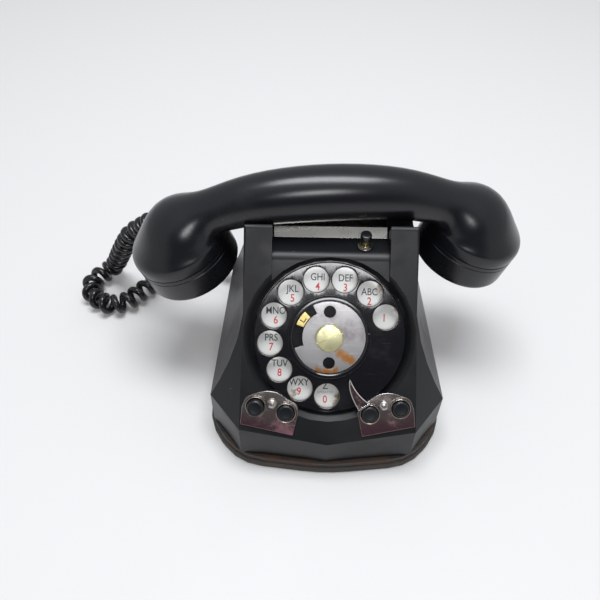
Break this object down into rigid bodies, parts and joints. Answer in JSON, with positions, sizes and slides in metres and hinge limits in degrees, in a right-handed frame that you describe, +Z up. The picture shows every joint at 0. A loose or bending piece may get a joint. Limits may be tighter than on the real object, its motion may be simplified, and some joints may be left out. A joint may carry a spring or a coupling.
{
  "type": "rotary telephone",
  "caption": "Black desk telephone with a rotary dial, key buttons, a handset in a sprung cradle, a curly cord and a bell inside.",
  "frame": {"origin": "middle of the foot pad's underside, on the table", "axes": "+X to the right, +Y to the back, +Z up; the dial faces -Y and up"},
  "size_m": [0.2845, 0.1665, 0.1404],
  "materials": {
    "foot_pad": "worn felt",
    "base_plate": "black paint rusting through",
    "moulding": "satin black phenolic moulding",
    "black_enamel": "gloss black enamel",
    "number_enamel": "white enamel with printed numbers",
    "card_metal": "dull, stained",
    "chrome": "satin to bright",
    "nickel": "worn nickel plate",
    "steel": "dull",
    "brass": "aged",
    "copper": "enamelled copper wire",
    "rubber": "semi-gloss black"
  },
  "bodies": {
    "phone": {"foot_pad": "foot_pad", "base_plate": "base_plate", "housing": "moulding", "terminal_block": "moulding", "dial_cup": "black_enamel", "number_plate": "number_enamel", "condenser": "card_metal", "finger_stop": "chrome", "key_plate_left": "nickel", "key_plate_right": "nickel", "key_collar_1": "nickel", "key_collar_2": "nickel", "key_collar_3": "nickel", "key_collar_4": "nickel", "top_button_collar": "nickel", "gong_left": "nickel", "gong_right": "nickel", "base_screw_1": "steel", "base_screw_2": "steel", "base_screw_3": "steel", "base_screw_4": "steel", "key_plate_screw_left": "steel", "key_plate_screw_right": "steel", "dial_return_spring": "steel", "hook_pivot_pin": "steel", "ringer_frame": "steel", "gong_screw_left": "steel", "gong_screw_right": "steel", "governor_drum": "brass", "pulse_contact_stack": "brass", "hook_contact_stack": "brass", "ringer_coil_left": "copper", "ringer_coil_right": "copper", "induction_coil": "copper", "handset_cord": "rubber", "handset_cord_gland": "rubber", "line_cord_inlet": "rubber"},
    "dial": {"finger_wheel": "black_enamel", "card_plate": "card_metal", "card_clamp": "brass", "dial_screw": "brass", "dial_shaft": "steel", "main_gear": "brass", "pulse_cam": "brass"},
    "governor": {"governor_pinion": "steel", "governor_weights": "brass"},
    "handset": {"handset_body": "moulding", "ear_cap": "moulding", "mouth_cap": "moulding", "receiver_capsule": "card_metal", "transmitter_capsule": "card_metal", "handset_cord_bush": "rubber"},
    "cradle": {"cradle_bar": "chrome"},
    "key_1": {"key_button_1": "moulding"},
    "key_2": {"key_button_2": "moulding"},
    "key_3": {"key_button_3": "moulding"},
    "key_4": {"key_button_4": "moulding"},
    "hook_button": {"top_button": "moulding"},
    "bell_clapper": {"clapper": "brass"}
  },
  "joints": [
    {"name": "dial_turn", "type": "hinge", "parent": "phone", "child": "dial", "pos_m": [0, -0.031, 0.073], "axis": [0, -0.7314, 0.682], "range_deg": [-320, 0]},
    {"name": "governor_spin", "type": "hinge", "parent": "phone", "child": "governor", "pos_m": [-0.00417, -0.00391, 0.08006], "axis": [0, -0.7314, 0.682], "range_deg": [-1, 1601]},
    {"name": "handset_lift", "type": "slide", "parent": "phone", "child": "handset", "axis": [0, 0, 1], "range_m": [0, 0.1]},
    {"name": "hook_switch", "type": "hinge", "parent": "phone", "child": "cradle", "pos_m": [0, 0.0452, 0.1078], "axis": [-1, 0, 0], "range_deg": [0, 7]},
    {"name": "key_1_press", "type": "slide", "parent": "phone", "child": "key_1", "axis": [0, 0.7314, -0.682], "range_m": [0, 0.0035], "stiffness_N_per_m": 200},
    {"name": "key_2_press", "type": "slide", "parent": "phone", "child": "key_2", "axis": [0, 0.7314, -0.682], "range_m": [0, 0.0035], "stiffness_N_per_m": 200},
    {"name": "key_3_press", "type": "slide", "parent": "phone", "child": "key_3", "axis": [0, 0.7314, -0.682], "range_m": [0, 0.0035], "stiffness_N_per_m": 200},
    {"name": "key_4_press", "type": "slide", "parent": "phone", "child": "key_4", "axis": [0, 0.7314, -0.682], "range_m": [-0.0032, 0], "stiffness_N_per_m": 200},
    {"name": "hook_button_press", "type": "slide", "parent": "phone", "child": "hook_button", "axis": [0, 0, -1], "range_m": [0, 0.0026], "stiffness_N_per_m": 200},
    {"name": "clapper_swing", "type": "hinge", "parent": "phone", "child": "bell_clapper", "pos_m": [0, 0.016, 0.02], "axis": [0, 0, 1], "range_deg": [-3, 3]}
  ],
  "couplings": [
    {"joint": "governor_spin", "follows": "dial_turn", "ratio": -5},
    {"joint": "hook_switch", "follows": "handset_lift", "rad_per_m": 1.2}
  ]
}
